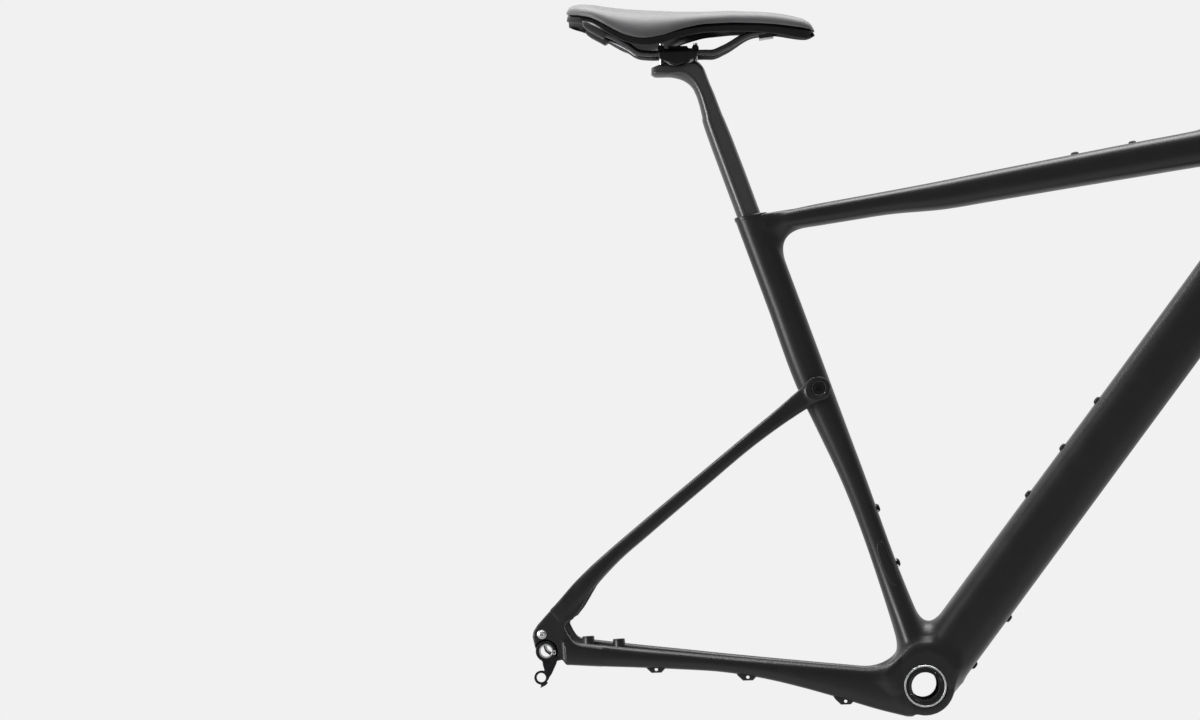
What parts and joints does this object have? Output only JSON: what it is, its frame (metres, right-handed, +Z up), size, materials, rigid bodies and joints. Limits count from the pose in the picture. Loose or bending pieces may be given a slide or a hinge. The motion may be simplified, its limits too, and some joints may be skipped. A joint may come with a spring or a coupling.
{
  "type": "bicycle frame",
  "caption": "Carbon gravel bicycle frame with flexing rear triangle, sliding seatpost, two-bolt clamp and railed saddle.",
  "frame": {"origin": "centre of the bottom bracket on the bicycle's middle plane", "axes": "+X forward, +Y to the rider's left, +Z up, with the wheels on level ground"},
  "size_m": [0.8856, 0.1623, 0.8065],
  "materials": {
    "frame_carbon": "satin black painted carbon",
    "post_carbon": "semi-gloss dark carbon",
    "alloy": "machined",
    "steel": "satin",
    "black_alloy": "black anodised",
    "seal": "matte",
    "rail_metal": "dark polished",
    "saddle_skin": "matte black synthetic cover",
    "shell_plastic": "glossy black"
  },
  "bodies": {
    "frame": {"head_tube": "frame_carbon", "top_tube": "frame_carbon", "down_tube": "frame_carbon", "seat_tube": "frame_carbon", "bottom_bracket_shell": "frame_carbon", "bottom_bracket_sleeve": "alloy", "cable_port_cover": "shell_plastic", "bb_bearing_outer_right": "steel", "bb_bearing_outer_left": "steel", "headset_lower_outer": "steel", "headset_upper_outer": "steel", "binder_wedge": "black_alloy", "binder_bolt": "steel", "seat_tube_bolt_1": "steel", "seat_tube_bolt_2": "steel", "down_tube_bolt_1": "steel", "down_tube_bolt_2": "steel", "down_tube_bolt_3": "steel", "under_tube_bolt_1": "steel", "under_tube_bolt_2": "steel", "top_tube_bolt_1": "steel", "top_tube_bolt_2": "steel"},
    "rear_triangle": {"chainstay_right": "frame_carbon", "chainstay_left": "frame_carbon", "seatstay_right": "frame_carbon", "seatstay_left": "frame_carbon", "dropout_right": "frame_carbon", "dropout_left": "frame_carbon", "seatstay_bridge": "frame_carbon", "fender_bolt": "steel", "derailleur_hanger": "black_alloy", "hanger_bolt": "steel", "rack_bolt_right": "steel", "rack_bolt_left": "steel", "kingpin_axle": "black_alloy", "kingpin_bolt": "black_alloy", "kingpin_bearing_right": "steel", "kingpin_bearing_left": "steel"},
    "post": {"seatpost": "post_carbon"},
    "clamp": {"clamp_cradle": "black_alloy", "clamp_bridge": "black_alloy", "clamp_bolt_rear": "steel", "clamp_nut_rear": "black_alloy", "clamp_bolt_front": "steel", "clamp_nut_front": "black_alloy"},
    "saddle": {"saddle_rail_right": "rail_metal", "saddle_rail_left": "rail_metal", "saddle_socket_right": "shell_plastic", "saddle_socket_left": "shell_plastic", "saddle_nose_socket": "shell_plastic", "saddle_shell": "shell_plastic", "saddle_cover": "saddle_skin"},
    "crank_race_right": {"bb_bearing_inner_right": "seal"},
    "crank_race_left": {"bb_bearing_inner_left": "seal"},
    "steerer_race_lower": {"headset_lower_inner": "seal"},
    "steerer_race_upper": {"headset_upper_inner": "seal"}
  },
  "joints": [
    {"name": "rear_triangle_flex", "type": "hinge", "parent": "frame", "child": "rear_triangle", "pos_m": [-0.075, 0, 0.005], "axis": [0, 1, 0], "range_deg": [0, 0.8], "stiffness_Nm_per_rad": 6000},
    {"name": "seatpost_height", "type": "slide", "parent": "frame", "child": "post", "axis": [-0.2874, 0, 0.9578], "range_m": [-0.028, 0.062]},
    {"name": "saddle_tilt", "type": "hinge", "parent": "post", "child": "clamp", "pos_m": [-0.22558, 0, 0.71959], "axis": [0, 1, 0], "range_deg": [-6, 6]},
    {"name": "saddle_slide", "type": "slide", "parent": "clamp", "child": "saddle", "axis": [0.9986, 0, -0.0523], "range_m": [-0.0135, 0.0113]},
    {"name": "crank_bearing_right", "type": "hinge", "parent": "frame", "child": "crank_race_right", "pos_m": [0, 0, 0], "axis": [0, 1, 0], "continuous": true},
    {"name": "crank_bearing_left", "type": "hinge", "parent": "frame", "child": "crank_race_left", "pos_m": [0, 0, 0], "axis": [0, 1, 0], "continuous": true},
    {"name": "steering_bearing_lower", "type": "hinge", "parent": "frame", "child": "steerer_race_lower", "pos_m": [0.43141, 0, 0.45474], "axis": [-0.3173, 0, 0.9483], "continuous": true},
    {"name": "steering_bearing_upper", "type": "hinge", "parent": "frame", "child": "steerer_race_upper", "pos_m": [0.38414, 0, 0.59604], "axis": [-0.3173, 0, 0.9483], "continuous": true}
  ]
}
